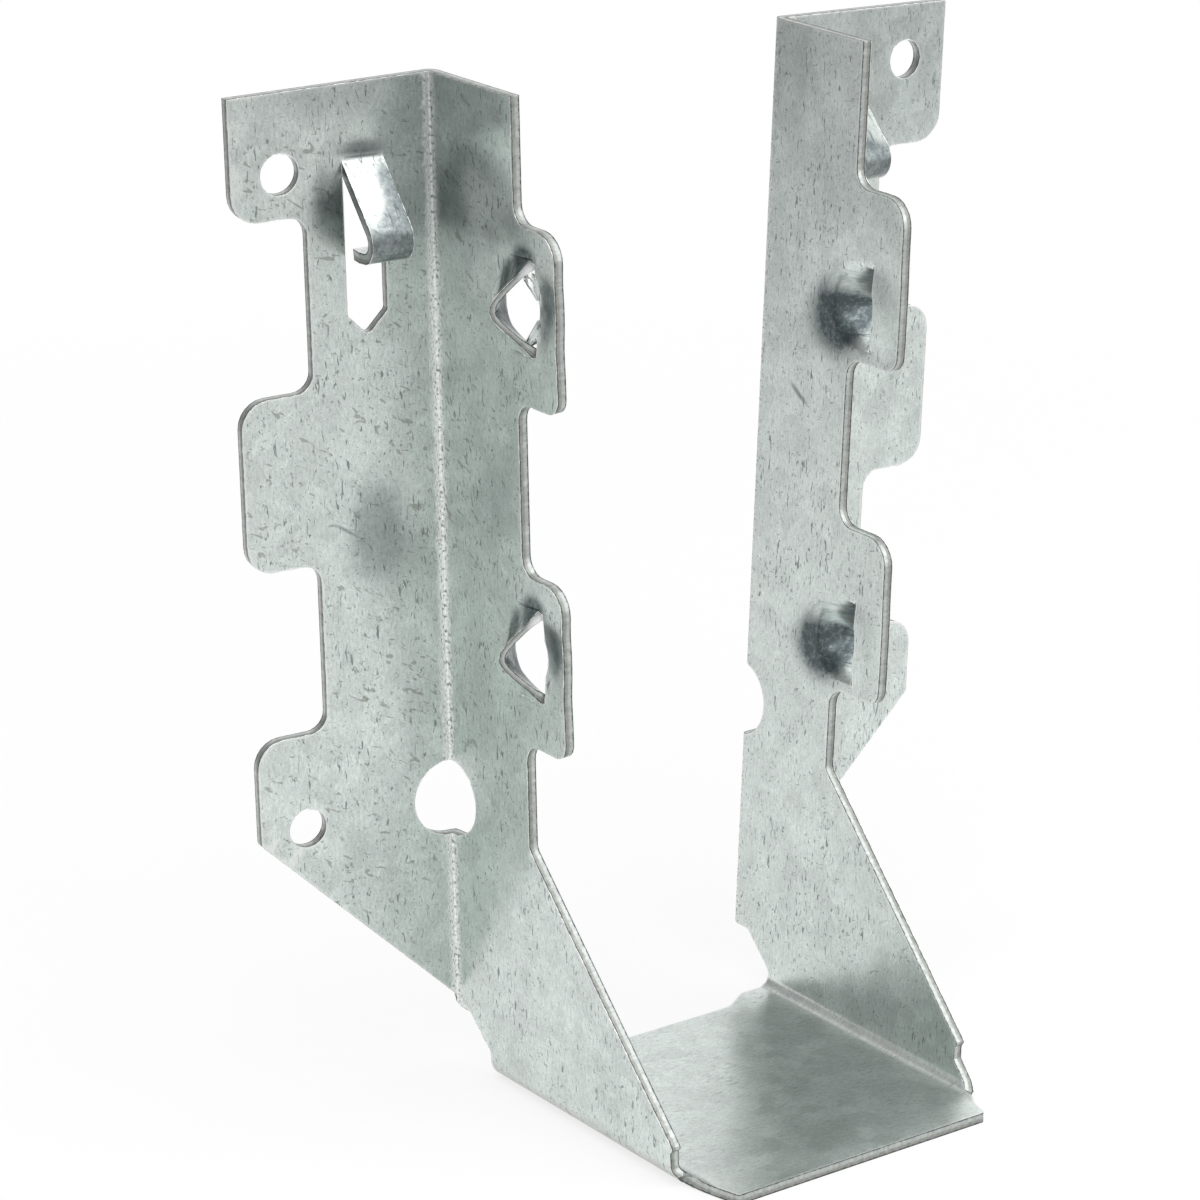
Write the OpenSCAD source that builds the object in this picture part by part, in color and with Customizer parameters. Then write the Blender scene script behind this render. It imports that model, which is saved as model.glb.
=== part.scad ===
// Face-mount joist hanger, folded from one blank of galvanised sheet.
// The joist sits on the seat between two side plates. The flanges nail to the header, and nails
// driven through the pressed domes run slantwise through the joist into the header.

/* [Sheet] */
// Sheet thickness
sheet = 1.2; // [0.9:0.1:1.5]
// Inside radius of the folds beside the seat
fold_r = 1.4; // [1:0.1:1.8]
// Inside radius of the folds at the flanges
flange_r = 0.2; // [0.1:0.1:1.2]

/* [Overall] */
// Clear width between the side plates at the seat
joist_gap = 40; // [38:0.5:60]
// Height of the side plates, measured along the sheet from under the seat
side_h = 119; // [116:1:130]
// Outward lean of each side plate
flare = 1.85; // [0:0.05:3]
// Backward lean of the left flange, away from square
left_lean = 8; // [0:1:12]
// Backward lean of the right flange, away from square
right_lean = 0; // [0:1:12]

/* [Seat] */
// Front edge of the seat, measured from the header face
seat_front = 50; // [48:1:60]
// How far the seat's front corners stand in from the side plates
corner_in = 2.1; // [1.8:0.1:5]
// Back edge of the seat
seat_back = 9.9; // [8.5:0.1:14]
// Back end of the folds beside the seat
fold_back = 7.6; // [6.5:0.1:8]

/* [Side plates] */
// Front edge of the side plates
side_depth = 16.4; // [15:0.1:17.4]
// Front edge of the two left ears
left_ear = 23.8; // [23.4:0.1:28]
// Front edge of the two right ears
right_ear = 25; // [23.4:0.1:28]
// Height where the front edge starts to slope
slope_top = 32; // [30:0.1:33]
// Depth where the sloping edge nears the seat
slope_front = 42.4; // [39:0.1:43]
// Height where the left sloping edge stops
left_foot = 4.6; // [4.4:0.1:6.5]
// Height where the right sloping edge stops
right_foot = 6.3; // [5.4:0.1:6.5]
// Height where the drop below the left sloping edge ends
left_drop = 1.9; // [1.7:0.1:3.2]
// Height where the drop below the right sloping edge ends
right_drop = 4.2; // [1.7:0.1:4.4]
// Pitch of the ears, and of the tabs on the flanges
step_pitch = 20; // [19:0.1:20.2]
// Top of the upper left ear
left_steps = 105; // [103:0.1:106]
// Top of the upper right ear
right_steps = 102.3; // [101.5:0.1:105]

/* [Nail domes] */
// Outside radius of a dome's crown
dome_r = 4.6; // [4.2:0.1:4.9]
// Height of a dome above the side plate
dome_rise = 4.2; // [3.4:0.1:4.8]
// Root radius where a dome leaves the side plate
dome_root = 0.7; // [0.5:0.1:0.9]
// Shear line at the mouth of the domes
dome_mouth = 20; // [19:0.1:20.4]
// Straight length of a dome behind its mouth
dome_run = 4.5; // [3.5:0.1:5.5]
// Backward rake of a dome's lip
lip_rake = 30; // [5:1:32]
// Height of the upper left dome
left_dome = 96.2; // [94.5:0.1:98]
// Height of the upper right dome
right_dome = 88.7; // [88.5:0.1:92]

/* [Flanges] */
// Outer edge of the flange tabs, measured from inside the side plate
tab_reach = 25.3; // [24:0.1:32]
// Outer edge of the flanges between their tabs
neck_reach = 16.5; // [15:0.1:18]
// Nail hole diameter
nail_hole = 4.6; // [4:0.1:5]
// Nail hole centres, measured from inside the side plate
nail_in = 19.5; // [19:0.1:20]
// Height of the upper left nail hole
upper_hole = 110; // [109.5:0.1:110.5]
// Height of the lower left nail hole and of the left relief hole
lower_hole = 33.7; // [33:0.1:35]
// How far the right side's holes sit above the left side's
hole_stagger = 2.5; // [0:0.1:2.6]
// Relief hole diameter, across the flange fold
relief_hole = 9.2; // [7:0.1:10]
// How far the right relief hole sits round the fold, towards its flange
relief_shift = 1.6; // [0:0.1:1.9]

/* [Prongs] */
// Prong width
prong_w = 4.9; // [4.4:0.1:5.2]
// Prong centre line, measured from inside the side plate
prong_in = 9.6; // [9.4:0.1:10]
// Height of the prongs' hinge line
prong_top = 110.8; // [109:0.1:112]
// Length of the slot below the hinge line
slot_len = 20.3; // [17:0.1:22]
// Angle between prong and flange
prong_angle = 46; // [30:1:50]
// Straight length from the hinge to the hook
prong_run = 8.5; // [7:0.1:9]
// Straight length of the hooked tip
prong_tip = 2.4; // [1.8:0.1:2.8]

/* [Hidden] */
$fn = 64;
zinc = [0.74, 0.77, 0.77];
header_y = 30;                           // the header face stands this far behind the origin
half = joist_gap / 2;
fold_out = fold_r + sheet;               // outside radius of a seat fold, and height of its centre
fold_foot = half - fold_r;               // the flat of the seat ends here
fold_mid = (fold_r + sheet / 2) * sin(45);
flange_out = flange_r + sheet;           // outside radius of a flange fold
over = 1;                                // outlines run this far past the sheet they cut
corner_r = 3.2;                          // rounded corners of ears and tabs
ear_foot_r = 1.8;
neck_r = 2.2;                            // rounded corners between them
slope_r = 1.5;
snip_r = 0.4;                            // sheared corners are eased by this
nick = 0.5;                              // small step where a sloping edge stops
corner_run = 2.5;                        // the seat's front corners start this far back
corner_step = 0.7;                       // and this far out
seat_s = 7.6;                            // the seat's back edge sweeps back beside the folds
seat_s_end = 4;
seat_s_r = 3;
seat_s_end_r = 1.5;
heel_h = 3.2;                            // the side plate turns into the seat fold below this
heel_in = 0.1;                           // it stands this far in from the fold's back end
heel_r = 1.2;
foot_in = 3.4;                           // level edge under the flange fold
foot_h = 7.2;
chamfer_h = 32.7;                        // the outer edge of a flange ends here
chamfer_r = 0.8;
relief_in = 1.4;                         // middle of the flange fold, from either face
rim = 0.4;                               // flat of the side plate taken with each dome
slit = 0.25;                             // gap between a dome's lip and the strip before it
nub_r = 1.1;                             // two nubs left on the upper left shear line
nub_a = 2.2;
hinge_r = 0.8;
hook_r = 1.3;
hook_dip = 11;                           // a hook's tip points this far below level
tip_w = 3.8;
point_len = 1.6;                         // a prong narrows to its tip over this length
slot_point = 2.5;                        // a slot narrows to its foot over this length
slot_r = 0.6;

// Corners given as [x, y, radius] become a closed outline with rounded corners.
function unit(v) = v / norm(v);
function wrap(a) = a > 180 ? a - 360 : (a < -180 ? a + 360 : a);
function xy(p) = [p[0], p[1]];
function rounded(a, b, c, r) =
  let (
    u = unit(a - b),
    w = unit(c - b),
    open = acos(u * w),
    centre = b + unit(u + w) * r / sin(open / 2),
    from = b + u * r / tan(open / 2) - centre,
    to = b + w * r / tan(open / 2) - centre,
    start = atan2(from[1], from[0]),
    sweep = wrap(atan2(to[1], to[0]) - start)
  )
  [for (k = [0:6]) centre + r * [cos(start + sweep * k / 6), sin(start + sweep * k / 6)]];
function outline(p) = [
  for (i = [0:len(p) - 1])
    let (n = len(p), before = xy(p[(i + n - 1) % n]), here = xy(p[i]), after = xy(p[(i + 1) % n]))
      each p[i][2] > 0 ? rounded(before, here, after, p[i][2]) : [here]
];

// Outline of a side plate, as [distance from the header face, height].
function side_edge(top, ear, foot, drop) = [
  [-over, side_h + over, 0],
  [side_depth, side_h + over, 0],
  [side_depth, top, neck_r],
  [ear, top, corner_r],
  [ear, top - step_pitch, ear_foot_r],
  [side_depth, top - step_pitch, neck_r],
  [side_depth, top - 2 * step_pitch, neck_r],
  [ear, top - 2 * step_pitch, corner_r],
  [ear, top - 3 * step_pitch, ear_foot_r],
  [side_depth, top - 3 * step_pitch, neck_r],
  [side_depth, slope_top, slope_r],
  [slope_front, foot, snip_r],
  [slope_front - nick, foot - nick, 0],
  [slope_front - nick, drop, snip_r],
  [fold_front(drop), fold_out - fold_mid, 0],
  [fold_front(drop), 0, 0],
  [fold_back + heel_in, 0, 0],
  [fold_back + heel_in, heel_h, heel_r],
  [foot_in, foot_h, snip_r],
  [flange_out, foot_h, 0],
  [-over, foot_h + 2 * (flange_out + over), 0]
];

// Outline of a flange, as [distance from inside the side plate, height].
function flange_edge(top) = [
  [-over, side_h + over, 0],
  [tab_reach, side_h + over, 0],
  [tab_reach, top, corner_r],
  [neck_reach, top, neck_r],
  [neck_reach, top - step_pitch, neck_r],
  [tab_reach, top - step_pitch, corner_r],
  [tab_reach, top - 2 * step_pitch, corner_r],
  [neck_reach, top - 2 * step_pitch, neck_r],
  [neck_reach, top - 3 * step_pitch, neck_r],
  [tab_reach, top - 3 * step_pitch, corner_r],
  [tab_reach, chamfer_h, chamfer_r],
  [-over, foot_h - over, 0]
];

// Front end of the fold beside the seat.
function fold_front(drop) = slope_front - nick + drop - fold_out + fold_mid;

// Outline of one half of the seat, as [distance from the middle, from the header face].
function seat_edge(drop) = [
  [0, seat_back, 0],
  [half - seat_s, seat_back, seat_s_r],
  [half - seat_s_end, fold_back, seat_s_end_r],
  [half + fold_out, fold_back, 0],
  [half + fold_out, slope_front, 0],
  [fold_foot + fold_mid, fold_front(drop), 0],
  [half - corner_in + corner_step, seat_front - corner_run, snip_r],
  [half - corner_in, seat_front, snip_r],
  [0, seat_front, 0]
];

// Outline of the slot a prong is pressed from, below its hinge line.
slot_edge = [
  [-prong_w / 2, 0, 0],
  [-prong_w / 2, slot_point - slot_len, slot_r],
  [0, -slot_len, slot_r],
  [prong_w / 2, slot_point - slot_len, slot_r],
  [prong_w / 2, 0, 0]
];

// A sector of sheet seen on edge, bent round the origin. Its end can be turned further by lean.
module arc(r, from, to, lean = 0) {
  far = 2 * (r + sheet);
  intersection() {
    difference() {
      circle(r + sheet);
      circle(r);
    }
    rotate(from)
      translate([-far, 0])
        square([2 * far, far]);
    rotate(lean)
      rotate(to)
        translate([-far, -far])
          square([2 * far, far]);
  }
}

// Puts [distance from the header face, height] on the side plate, with thickness outwards.
module on_side() {
  translate([half, 0, 0])
    mirror([0, 1, 0])
      rotate([90, 0, 90])
        children();
}

// Puts [distance from inside the side plate, height] on the flange, with thickness forwards.
module on_flange(lean) {
  translate([half + flange_out, -flange_out, 0])
    rotate(lean)
      translate([-flange_out, flange_out, 0])
        rotate([90, 0, 0])
          children();
}

// A dome's section, right half: crown above, root below, both one sheet thick.
module dome_half() {
  crown = sheet + dome_rise - dome_r;
  root = sheet + dome_root;
  span = dome_span();
  intersection() {
    translate([0, crown])
      difference() {
        circle(dome_r);
        circle(dome_r - sheet);
      }
    polygon([
      [0, crown],
      [2 * span, 2 * root - crown],
      [2 * span, 3 * dome_r],
      [0, 3 * dome_r]
    ]);
  }
  intersection() {
    translate([span, root])
      difference() {
        circle(dome_root + sheet);
        circle(dome_root);
      }
    polygon([[span, root], [0, crown], [0, -sheet], [span, -sheet]]);
  }
  translate([span, 0])
    square([rim, sheet]);
}

function dome_span() =
  sqrt(pow(dome_r + dome_root, 2) - pow(dome_root - dome_rise + dome_r, 2));

// A dome on the face of a side plate, opening forwards, with its centre at the origin.
module dome() {
  lip = dome_rise + sheet;
  rotate([0, 0, 90])
    rotate_extrude(angle = 180)
      dome_half();
  intersection() {
    rotate([90, 0, 90])
      linear_extrude(dome_run) {
        dome_half();
        mirror([1, 0])
          dome_half();
      }
    rotate([90, 0, 0])
      linear_extrude(4 * dome_r, center = true)
        polygon([
          [-2 * lip, -over],
          [dome_run, -over],
          [dome_run, 0],
          [dome_run - 2 * lip * tan(lip_rake), 2 * lip],
          [-2 * lip, 2 * lip]
        ]);
  }
}

// The opening a dome is raised from, with the slit at its mouth and any nubs beyond.
module dome_opening(nubs) {
  span = dome_span();
  difference() {
    union() {
      circle(span);
      translate([0, -span])
        square([dome_run + slit, 2 * span]);
    }
    if (nubs)
      for (side = [-1, 1])
        translate([dome_run + slit, side * nub_a])
          circle(nub_r);
  }
}

// A prong, hanging below its hinge line at the origin and hooked back through the slot.
module prong() {
  bend = hinge_r + sheet;
  hook_down = (bend + hook_r) * sin(prong_angle) + prong_run * cos(prong_angle);
  hook_out = bend - (bend + hook_r) * cos(prong_angle) + prong_run * sin(prong_angle);
  tip_out = hook_out + hook_r * sin(hook_dip) - prong_tip * cos(hook_dip);
  difference() {
    rotate([90, 0, -90])
      linear_extrude(prong_w, center = true)
        translate([0, bend]) {
          arc(hinge_r, -90, -90, prong_angle);
          rotate(prong_angle)
            translate([0, -bend]) {
              square([prong_run, sheet]);
              translate([prong_run, -hook_r]) {
                arc(hook_r, hook_dip - prong_angle, 90);
                rotate(hook_dip - prong_angle)
                  translate([hook_r, -prong_tip])
                    square([sheet, prong_tip]);
              }
            }
        }
    for (side = [-1, 1])
      translate([0, -hook_down, 0])
        rotate([90, 0, 0])
          linear_extrude(2 * (hook_r + sheet))
            polygon([
              [side * tip_w / 2, tip_out],
              [side * tip_w / 2, tip_out - over],
              [side * prong_w, tip_out - over],
              [side * prong_w, tip_out + point_len],
              [side * prong_w / 2, tip_out + point_len]
            ]);
  }
}

// Side plate and flange seen from above, with the fold between them.
module folded(lean) {
  translate([half, -seat_front])
    square([sheet, seat_front - flange_out]);
  translate([half + flange_out, -flange_out]) {
    arc(flange_r, 90 + lean, 180);
    rotate(lean)
      translate([0, flange_r])
        square([tab_reach, sheet]);
  }
}

// The right side of the hanger: side plate, flange, and the upper half of the seat fold.
module wing(top, ear, foot, drop, lean, dome_h, nubs, hole_rise, shift) {
  difference() {
    intersection() {
      union() {
        translate([0, 0, fold_out])
          linear_extrude(side_h - fold_out)
            folded(lean);
        rotate([90, 0, 0])
          linear_extrude(seat_front)
            translate([fold_foot, fold_out])
              arc(fold_r, -45, 0);
      }
      union() {
        on_side()
          translate([0, 0, -2 * fold_out])
            linear_extrude(2 * fold_out + flange_out)
              polygon(outline(side_edge(top, ear, foot, drop)));
        on_flange(lean)
          translate([0, 0, -over])
            linear_extrude(flange_out + over)
              polygon(outline(flange_edge(top)));
      }
    }
    on_flange(lean)
      for (h = [upper_hole, lower_hole])
        translate([nail_in, h + hole_rise, -sheet])
          cylinder(d = nail_hole, h = 3 * sheet);
    on_flange(lean)
      translate([prong_in, prong_top, -sheet])
        linear_extrude(3 * sheet)
          polygon(outline(slot_edge));
    on_flange(lean)
      translate([relief_in + shift, lower_hole + hole_rise, -sheet])
        cylinder(d = relief_hole, h = 3 * sheet);
    on_side()
      translate([relief_in - shift, lower_hole + hole_rise, -sheet])
        cylinder(d = relief_hole, h = 3 * sheet);
    for (h = [dome_h, dome_h - 2 * step_pitch])
      on_side()
        translate([dome_mouth - dome_run, h, -sheet])
          linear_extrude(3 * sheet)
            dome_opening(nubs && h == dome_h);
  }
  for (h = [dome_h, dome_h - 2 * step_pitch])
    on_side()
      translate([dome_mouth - dome_run, h, 0])
        dome();
  on_flange(lean)
    translate([prong_in, prong_top, 0])
      prong();
}

// The seat, with the lower half of the fold on each side.
module seat() {
  intersection() {
    rotate([90, 0, 0])
      linear_extrude(seat_front + 1) {
        translate([-fold_foot, 0])
          square([2 * fold_foot, sheet]);
        for (side = [0, 1])
          mirror([side, 0])
            translate([fold_foot, fold_out])
              arc(fold_r, -90, -45, -flare);
      }
    linear_extrude(2 * fold_out)
      for (side = [0, 1])
        mirror([side, 0])
          mirror([0, 1])
            polygon(outline(seat_edge(side == 0 ? right_drop : left_drop)));
  }
}

// Leans a wing outwards about the centre of its seat fold.
module flared() {
  translate([fold_foot, 0, fold_out])
    rotate([0, flare, 0])
      translate([-fold_foot, 0, -fold_out])
        children();
}

module joist_hanger() {
  color(zinc)
    translate([0, header_y, 0]) {
      seat();
      flared()
        wing(
          right_steps, right_ear, right_foot, right_drop,
          right_lean, right_dome, false, hole_stagger, relief_shift
        );
      mirror([1, 0, 0])
        flared()
          wing(
            left_steps, left_ear, left_foot, left_drop,
            left_lean, left_dome, true, 0, 0
          );
    }
}

joist_hanger();
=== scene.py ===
import math

import bmesh
import bpy
import numpy as np
from mathutils import Matrix, Vector
from mathutils.bvhtree import BVHTree
from mathutils.kdtree import KDTree


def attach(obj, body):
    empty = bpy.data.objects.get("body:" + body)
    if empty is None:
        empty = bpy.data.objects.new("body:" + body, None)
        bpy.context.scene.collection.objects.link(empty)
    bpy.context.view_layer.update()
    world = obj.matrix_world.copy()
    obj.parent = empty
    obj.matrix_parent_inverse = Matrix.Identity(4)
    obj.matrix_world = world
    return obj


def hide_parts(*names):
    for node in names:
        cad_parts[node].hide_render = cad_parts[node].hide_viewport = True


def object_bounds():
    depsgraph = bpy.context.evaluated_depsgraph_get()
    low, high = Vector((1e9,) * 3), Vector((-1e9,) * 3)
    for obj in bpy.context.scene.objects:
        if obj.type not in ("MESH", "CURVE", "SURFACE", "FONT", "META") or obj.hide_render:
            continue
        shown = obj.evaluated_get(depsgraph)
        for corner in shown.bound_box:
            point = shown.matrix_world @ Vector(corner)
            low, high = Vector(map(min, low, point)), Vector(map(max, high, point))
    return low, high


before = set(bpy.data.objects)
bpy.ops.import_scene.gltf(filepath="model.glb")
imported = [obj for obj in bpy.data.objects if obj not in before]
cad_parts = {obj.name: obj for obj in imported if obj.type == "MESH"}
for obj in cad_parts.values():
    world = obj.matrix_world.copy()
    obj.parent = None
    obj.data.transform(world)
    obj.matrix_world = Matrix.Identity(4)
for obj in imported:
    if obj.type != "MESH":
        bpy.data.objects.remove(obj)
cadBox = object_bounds()
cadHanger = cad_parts["joist_hanger"]
mm = 0.001

# the folded sheet, in millimetres
blank = {
    "gap": 40.0,            # clear width between the side plates
    "thickness": 1.2,
    "flare": 1.85,          # outward lean of the side plates, degrees
    "seatFold": 2.6,        # outside radius beside the seat
    "flangeFold": 1.4,      # outside radius at the flanges
    "headerY": 30.0,        # the header face
    "leans": {-1: 8.0, 1: 0.0},     # backward lean of the left and right flange, degrees
}


# points well out on one side, so that the two plates are worked apart
def onSide(co, side):
    return side * co[:, 0] > 8


# points in mm become outward, forward and up on a side plate
def toPlate(co, side):
    half = blank["gap"] / 2
    foot = half - (blank["seatFold"] - blank["thickness"])
    turn = math.radians(blank["flare"])
    x = side * co[:, 0] - foot
    z = co[:, 2] - blank["seatFold"]
    out = x * math.cos(turn) - z * math.sin(turn) + foot - half
    up = x * math.sin(turn) + z * math.cos(turn) + blank["seatFold"]
    return out, blank["headerY"] - co[:, 1], up


# points in mm become distance from the side plate, height over the back and up on a flange
def toFlange(co, side):
    out, forward, up = toPlate(co, side)
    fold = blank["flangeFold"]
    turn = math.radians(blank["leans"][side])
    x = out - fold
    y = fold - forward
    along = x * math.cos(turn) + y * math.sin(turn) + fold
    front = fold - (y * math.cos(turn) - x * math.sin(turn))
    return along, front, up


# how the copy of the folded solid is cut up and shaded
sheetLook = {
    "grid": 2.5,            # spacing of the cuts through flat areas, mm
    "fineEdge": 1.0,        # longest edge on and round the domes, mm
    "flatAngle": 0.3,       # faces within this angle are one flat area, degrees
    "smoothAngle": 26.0,    # sharper corners than this stay crisp, degrees
    "leastSkin": 8.0,       # smaller patches than this, mm2, count as sheared faces
}

# the pressed nail domes, in mm and degrees
dome = {
    "places": [(-1, 96.2), (-1, 56.2), (1, 88.7), (1, 48.7)],   # side, height
    "mouth": 20.0,          # from the header face
    "run": 4.5,             # straight part behind the mouth
    "crown": 4.0,           # radius at the middle of the sheet
    "lift": 0.2,            # the crown's centre stands this far off the plate
    "span": 5.185,          # half width at the plate
    "root": 1.3,            # radius where the dome leaves the plate
    "rake": 30.0,           # slant of the mouth
    "fall": 0.19,           # the ridge drops by this share for each mm behind the lip
    "fallLimit": 0.08,      # but not below this share
    "arch": 1.0,            # 0 is a round mouth, 1 a pointed one
    "apex": 1.5,            # roundness of the point
    "thinning": 0.5,        # the raised part is drawn thinner by this share
    "ringRise": 0.12,       # soft swelling of the plate round a dome
    "ringWidth": 2.2,
    "stripDent": 0.28,      # the strip before a mouth is pushed in
    "stripSpread": 3.2,
}

# the hooked prongs, in mm
hook = {
    "middle": 9.6,          # from the side plate
    "foot": 95.0,           # lowest height that a prong reaches
    "start": 6.3,           # the tip begins here, in front of the flange
    "length": 2.6,
    "top": 101.6,           # upper side of the tip
    "draw": 1.7,            # the tip is drawn out by this much
}


# the solid's triangles, joined, with its two skins told from its sheared faces
def sheetCopy(source):
    form = bmesh.new()
    form.from_mesh(source.data)
    bmesh.ops.remove_doubles(form, verts=form.verts, dist=2e-6)
    form.normal_update()
    form.faces.ensure_lookup_table()
    tree = BVHTree.FromBMesh(form)
    thick = blank["thickness"] * mm
    isSkin = []
    for face in form.faces:
        inward = -face.normal
        start = face.calc_center_median() + inward * thick * 0.05
        place, normal, hit, length = tree.ray_cast(start, inward)
        through = place is not None and abs(length / thick - 0.95) < 0.12
        isSkin.append(bool(through and normal.dot(face.normal) < -0.9))
    return form, isSkin


# 1 is the inner skin, 2 the outer skin, 0 a sheared face
def markSkins(form, isSkin):
    label = [0] * len(form.faces)
    areas = {}
    count = 0
    for start in form.faces:
        if label[start.index] or not isSkin[start.index]:
            continue
        count += 1
        area, stack = 0.0, [start]
        label[start.index] = count
        while stack:
            face = stack.pop()
            area += face.calc_area() / mm ** 2
            for edge in face.edges:
                if len(edge.link_faces) != 2 or edge.calc_face_angle(0.0) > 0.7:
                    continue
                for other in edge.link_faces:
                    if isSkin[other.index] and not label[other.index]:
                        label[other.index] = count
                        stack.append(other)
        areas[count] = area
    inner = max(areas, key=areas.get)
    skin = form.faces.layers.int.new("skin")
    for face in form.faces:
        group = label[face.index]
        if group == inner:
            face[skin] = 1
        elif group and areas[group] > sheetLook["leastSkin"]:
            face[skin] = 2
        face.smooth = True
        face.material_index = 0 if face[skin] else 1
    return skin


# flat areas are joined, then cut on a grid so that the mesh can carry the worked forms
def refine(form):
    bmesh.ops.dissolve_limit(
        form, angle_limit=math.radians(sheetLook["flatAngle"]), verts=form.verts,
        edges=form.edges, delimit={"MATERIAL", "SHARP"},
    )
    low, high = cadBox
    step = sheetLook["grid"] * mm
    offset = 0.37           # of a step, so that cuts miss the sheet's own edges
    for axis in range(3):
        normal = Vector([float(axis == k) for k in range(3)])
        for k in range(1, int((high[axis] - low[axis]) / step)):
            point = normal * (low[axis] + (k + offset) * step)
            everything = form.verts[:] + form.edges[:] + form.faces[:]
            bmesh.ops.bisect_plane(form, geom=everything, dist=1e-7, plane_co=point, plane_no=normal)
    bmesh.ops.triangulate(form, faces=form.faces[:], ngon_method="BEAUTY")


# a finer mesh on and round the domes
def refineDomes(form):
    limit = sheetLook["fineEdge"] * mm
    for passes in range(3):
        co = np.array([v.co for v in form.verts]) / mm
        near = np.zeros(len(co), bool)
        for side, height in dome["places"]:
            out, forward, up = toPlate(co, side)
            near |= (onSide(co, side) & (np.abs(up - height) < 9)
                     & (np.abs(forward - 16) < 9.5) & (np.abs(out - 3) < 5))
        form.verts.index_update()
        long = [e for e in form.edges if near[e.verts[0].index] and near[e.verts[1].index]
                and e.calc_length() > limit]
        if not long:
            break
        bmesh.ops.subdivide_edges(form, edges=long, cuts=1)
        bmesh.ops.triangulate(form, faces=[f for f in form.faces if len(f.verts) > 3])


# where points of the round hood lie on its middle surface: arc share from its crown, and depth
def hoodPlace(r, rise):
    crown, root, span, lift = (dome[k] for k in ("crown", "root", "span", "lift"))
    half = blank["thickness"] / 2
    turn = math.asin(span / (crown + root))
    whole = (crown + root) * turn
    angle = np.arctan2(r, rise - lift)
    rootAngle = np.arctan2(span - r, root - rise)
    onCrown = angle < turn
    share = np.where(onCrown, crown * angle, whole - root * np.clip(rootAngle, 0, turn)) / whole
    depth = np.where(onCrown, np.hypot(r, rise - lift) - crown, root - np.hypot(span - r, root - rise))
    return np.clip(share, 0, 1), np.clip(depth, -half, half)


# the scoop's height: pointed at the mouth, a soft bell behind it
def scoopHeight(r, pointed):
    top = dome["crown"] + dome["lift"]
    apex, span = dome["apex"], dome["span"]
    ridge = 1 - np.clip((np.sqrt(r ** 2 + apex ** 2) - apex) / (math.hypot(span, apex) - apex), 0, 1)
    part = np.clip(1 - r / span, 0, 1)
    bell = part ** 2 * (3 - 2 * part)
    return top * (pointed * ridge + (1 - pointed) * bell)


# works the domes from round hoods into scoops, and lets the plate swell round them
def workDomes(co):
    moved = co.copy()
    rake = math.tan(math.radians(dome["rake"]))
    turn = math.radians(blank["flare"])
    half = blank["thickness"] / 2
    for side, height in dome["places"]:
        out, forward, up = toPlate(co, side)
        across = up - height
        behind = dome["mouth"] - forward
        past = np.clip(behind - dome["run"], 0, None)
        near = (onSide(co, side) & (out > -1.5) & (out < 8)
                & (np.abs(across) < 14) & (np.abs(behind - 3) < 15))
        onStrip = forward > dome["mouth"] + 0.08
        r = np.hypot(across, past)
        hood = near & ~onStrip & (r < dome["span"] + 0.02)
        share, depth = hoodPlace(r, out - half)
        middle = dome["span"] * share
        back = np.clip(behind - np.clip(out, 0, None) * rake, 0, None)
        fall = np.clip(1 - dome["fall"] * back, dome["fallLimit"], 1)
        pointed = dome["arch"] * np.clip(1 - back / 5, 0, 1)
        rise = fall * scoopHeight(middle, pointed)
        ahead, before = (scoopHeight(middle + k * 0.01, pointed) for k in (1, -1))
        slope = fall * (ahead - before) / 0.02
        flat = np.sqrt(1 + slope ** 2)
        depth = depth * (1 - dome["thinning"] * np.clip(rise / 1.5, 0, 1))
        wider = np.where(hood, middle - depth * slope / flat - r, 0.0)
        higher = np.where(hood, rise + depth / flat + half - out, 0.0)
        ringR = np.where(hood, middle, np.where(behind < 0, np.hypot(across, behind), r))
        swell = dome["ringRise"] * np.exp(-((ringR - dome["span"]) / dome["ringWidth"]) ** 2)
        swell = np.where(onStrip & (ringR < dome["span"]), dome["ringRise"] * np.exp(
            -((ringR - dome["span"]) / (0.6 * dome["ringWidth"])) ** 2), swell)
        dent = dome["stripDent"] * np.exp(
            -(across / dome["stripSpread"]) ** 2 - ((behind + 1.5) / 1.6) ** 2)
        outward = np.where(near, higher + swell - np.where(onStrip, dent, 0.0), 0.0)
        length = np.maximum(r, 1e-6)
        upward = wider * across / length
        backward = wider * past / length + higher * rake * np.exp(-(back / 2.5) ** 2)
        moved += outward[:, None] * np.array([side * math.cos(turn), 0.0, -math.sin(turn)])
        moved += upward[:, None] * np.array([side * math.sin(turn), 0.0, math.cos(turn)])
        moved[:, 1] += np.where(hood, backward, 0.0)
    return moved


# draws the prongs' hooked tips out towards the flange
def drawTips(co):
    for side in (-1, 1):
        turn = math.radians(blank["leans"][side])
        along, front, up = toFlange(co, side)
        tip = (onSide(co, side) & (np.abs(along - hook["middle"]) < 2.8) & (front > 1.3)
               & (front < hook["start"]) & (up < hook["top"]) & (up > hook["top"] - 3))
        reach = np.where(tip, hook["draw"] * (hook["start"] - front) / hook["length"], 0.0)
        co[:, 0] -= side * math.sin(turn) * reach
        co[:, 1] += math.cos(turn) * reach
    return co


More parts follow.
